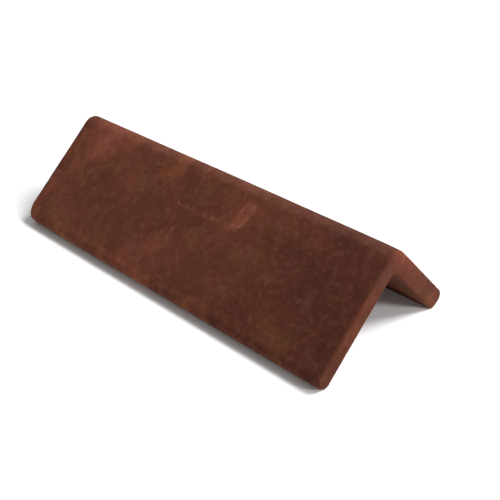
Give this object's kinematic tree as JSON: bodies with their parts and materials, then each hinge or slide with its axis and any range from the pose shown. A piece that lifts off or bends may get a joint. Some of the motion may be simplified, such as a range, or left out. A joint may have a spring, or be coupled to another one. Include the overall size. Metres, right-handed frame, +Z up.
{
  "type": "ridge stop end",
  "caption": "Fired clay angle ridge tile with a rounded ridge and bevelled feet, open at one end and closed at the other by a stop, to finish a roof ridge at its gable.",
  "frame": {"origin": "on the plane of the feet, midway between the ends, straight below the ridge", "axes": "+X along the ridge towards the open end, +Y across to one wing, +Z up"},
  "size_m": [0.45, 0.2124, 0.111],
  "materials": {
    "fired_clay": "unglazed dark red-brown fired clay, matt, mottled and scuffed"
  },
  "bodies": {
    "root": {"ridge_stop_end": "fired_clay"}
  },
  "joints": []
}
